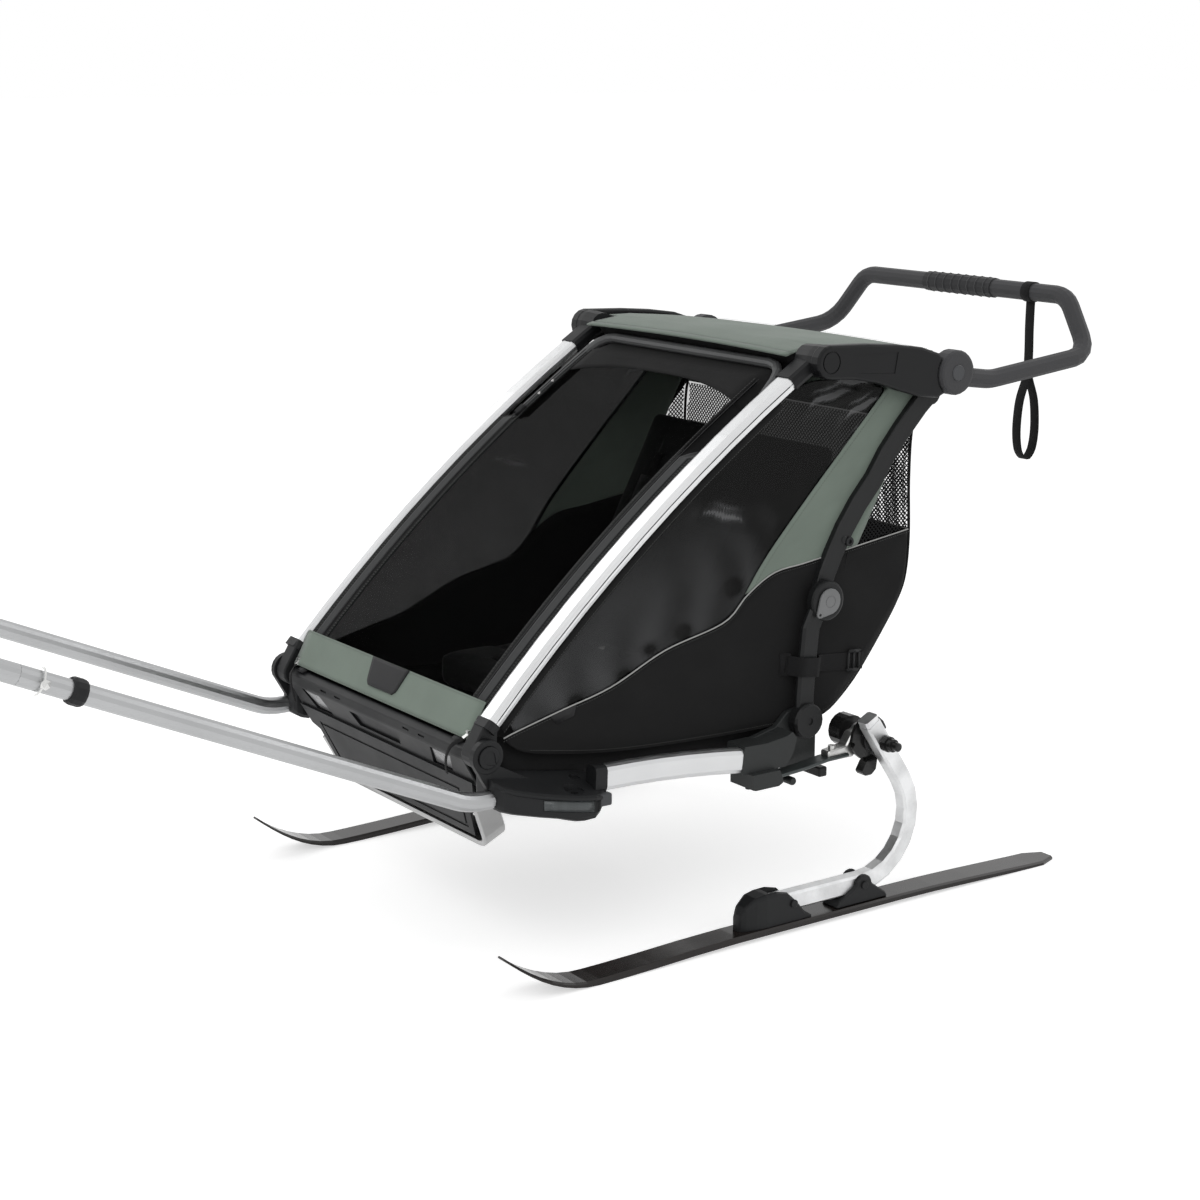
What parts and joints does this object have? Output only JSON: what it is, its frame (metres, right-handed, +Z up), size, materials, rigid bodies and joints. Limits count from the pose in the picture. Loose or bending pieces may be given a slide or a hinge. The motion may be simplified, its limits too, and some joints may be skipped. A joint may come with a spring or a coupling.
{
  "type": "child trailer on skis",
  "caption": "Folding child trailer with fabric cabin, ski undercarriage, two towing arms and a tilting push handlebar.",
  "frame": {"origin": "on the floor under the centre of the object's bounding box", "axes": "+Z up, -Y towards the front, where the towing arms are, +X to the trailer's left"},
  "size_m": [0.852, 2.8489, 0.9996],
  "materials": {
    "black_plastic": "fine grain",
    "grey_plastic": "satin",
    "satin_aluminium": "satin anodised",
    "spring_steel": "dark coated",
    "cast_metal": "cast",
    "gloss_black": "gloss",
    "foam_grey": "matt foam skin",
    "green_fabric": "coated woven cloth",
    "black_fabric": "woven cloth",
    "tinted_film": "tinted clear film"
  },
  "bodies": {
    "chassis": {"side_rail_left": "satin_aluminium", "side_rail_right": "satin_aluminium", "hitch_housing_left": "black_plastic", "hitch_housing_right": "black_plastic", "front_panel": "black_plastic", "front_hoop": "satin_aluminium", "rear_bracket_left": "black_plastic", "rear_bracket_right": "black_plastic", "rear_cross_bar": "black_plastic", "floor_pan": "black_fabric", "arm_rear_left": "satin_aluminium", "arm_rear_right": "satin_aluminium", "arm_front_left": "satin_aluminium", "arm_front_right": "satin_aluminium", "arm_clamp_left": "black_plastic", "arm_clamp_right": "black_plastic", "seat_cushion": "black_fabric", "seat_back": "black_fabric", "rear_cover": "black_fabric", "side_panel_left": "black_fabric", "side_panel_right": "black_fabric"},
    "front_frame": {"front_tube_left": "satin_aluminium", "front_tube_right": "satin_aluminium", "front_tube_foot_left": "black_plastic", "front_tube_foot_right": "black_plastic", "top_cover_left": "black_plastic", "top_cover_right": "black_plastic", "roof_bar": "grey_plastic", "roof": "green_fabric", "windshield": "tinted_film"},
    "upper_struts": {"upper_strut_left": "black_plastic", "upper_strut_right": "black_plastic"},
    "lower_struts": {"lower_strut_left": "black_plastic", "lower_strut_right": "black_plastic"},
    "handlebar_assembly": {"handlebar": "foam_grey", "handlebar_grip": "gloss_black"},
    "hand_strap": {"wrist_strap": "black_fabric"},
    "brake": {"brake_pedal": "grey_plastic"},
    "suspension_left": {"leaf_spring_left": "spring_steel", "axle_block_left": "cast_metal", "hub_left": "gloss_black", "ski_leg_left": "satin_aluminium", "ski_left": "gloss_black", "front_shoe_left": "black_plastic", "rear_shoe_left": "black_plastic"},
    "fold_lever_left": {"fold_lever_left": "cast_metal"},
    "hitch_release_left": {"hitch_release_left": "grey_plastic"},
    "arm_pin_left": {"arm_pin_left": "cast_metal"},
    "handlebar_button_left": {"handlebar_button_left": "grey_plastic"},
    "suspension_right": {"leaf_spring_right": "spring_steel", "axle_block_right": "cast_metal", "hub_right": "gloss_black", "ski_leg_right": "satin_aluminium", "ski_right": "gloss_black", "front_shoe_right": "black_plastic", "rear_shoe_right": "black_plastic"},
    "fold_lever_right": {"fold_lever_right": "cast_metal"},
    "hitch_release_right": {"hitch_release_right": "grey_plastic"},
    "arm_pin_right": {"arm_pin_right": "cast_metal"},
    "handlebar_button_right": {"handlebar_button_right": "grey_plastic"}
  },
  "joints": [
    {"name": "frame_fold", "type": "hinge", "parent": "chassis", "child": "front_frame", "pos_m": [0, 0.22, 0.34], "axis": [-1, 0, 0], "range_deg": [0, 24], "deforming": ["side_panel_left", "side_panel_right", "rear_cover", "seat_back"]},
    {"name": "upper_strut_fold", "type": "hinge", "parent": "front_frame", "child": "upper_struts", "pos_m": [0, 1.05, 0.792], "axis": [-1, 0, 0], "range_deg": [0, 44]},
    {"name": "lower_strut_fold", "type": "hinge", "parent": "chassis", "child": "lower_struts", "pos_m": [0, 0.796, 0.303], "axis": [1, 0, 0], "range_deg": [0, 12]},
    {"name": "handlebar_tilt", "type": "hinge", "parent": "front_frame", "child": "handlebar_assembly", "pos_m": [0, 1.081, 0.825], "axis": [1, 0, 0], "range_deg": [-20, 110]},
    {"name": "hand_strap_swing", "type": "hinge", "parent": "handlebar_assembly", "child": "hand_strap", "pos_m": [0.168, 1.4025, 0.921], "axis": [1, 0, 0], "range_deg": [-20, 20]},
    {"name": "brake_press", "type": "hinge", "parent": "chassis", "child": "brake", "pos_m": [0, 0.855, 0.218], "axis": [1, 0, 0], "range_deg": [-22, 6]},
    {"name": "suspension_left", "type": "hinge", "parent": "chassis", "child": "suspension_left", "pos_m": [0.3375, 0.712, 0.2332], "axis": [1, 0, 0], "range_deg": [-4, 4], "stiffness_Nm_per_rad": 2500},
    {"name": "fold_lever_turn_left", "type": "hinge", "parent": "lower_struts", "child": "fold_lever_left", "pos_m": [0.3254, 0.833, 0.489], "axis": [1, 0, 0], "range_deg": [0, 80]},
    {"name": "hitch_release_press_left", "type": "slide", "parent": "chassis", "child": "hitch_release_left", "axis": [0, -1, 0], "range_m": [0, 0.003], "stiffness_N_per_m": 1500, "springref_m": -0.0015},
    {"name": "arm_pin_pull_left", "type": "slide", "parent": "chassis", "child": "arm_pin_left", "axis": [1, 0, 0], "range_m": [0, 0.022]},
    {"name": "handlebar_button_press_left", "type": "slide", "parent": "handlebar_assembly", "child": "handlebar_button_left", "axis": [-1, 0, 0], "range_m": [0, 0.0035], "stiffness_N_per_m": 1200, "springref_m": -0.0015},
    {"name": "suspension_right", "type": "hinge", "parent": "chassis", "child": "suspension_right", "pos_m": [-0.3375, 0.712, 0.2332], "axis": [1, 0, 0], "range_deg": [-4, 4], "stiffness_Nm_per_rad": 2500},
    {"name": "fold_lever_turn_right", "type": "hinge", "parent": "lower_struts", "child": "fold_lever_right", "pos_m": [-0.3254, 0.833, 0.489], "axis": [1, 0, 0], "range_deg": [0, 80]},
    {"name": "hitch_release_press_right", "type": "slide", "parent": "chassis", "child": "hitch_release_right", "axis": [0, -1, 0], "range_m": [0, 0.003], "stiffness_N_per_m": 1500, "springref_m": -0.0015},
    {"name": "arm_pin_pull_right", "type": "slide", "parent": "chassis", "child": "arm_pin_right", "axis": [-1, 0, 0], "range_m": [0, 0.022]},
    {"name": "handlebar_button_press_right", "type": "slide", "parent": "handlebar_assembly", "child": "handlebar_button_right", "axis": [1, 0, 0], "range_m": [0, 0.0035], "stiffness_N_per_m": 1200, "springref_m": -0.0015}
  ],
  "couplings": [
    {"joint": "upper_strut_fold", "follows": "frame_fold", "ratio": 1.7651},
    {"joint": "lower_strut_fold", "follows": "frame_fold", "ratio": 0.4499}
  ]
}
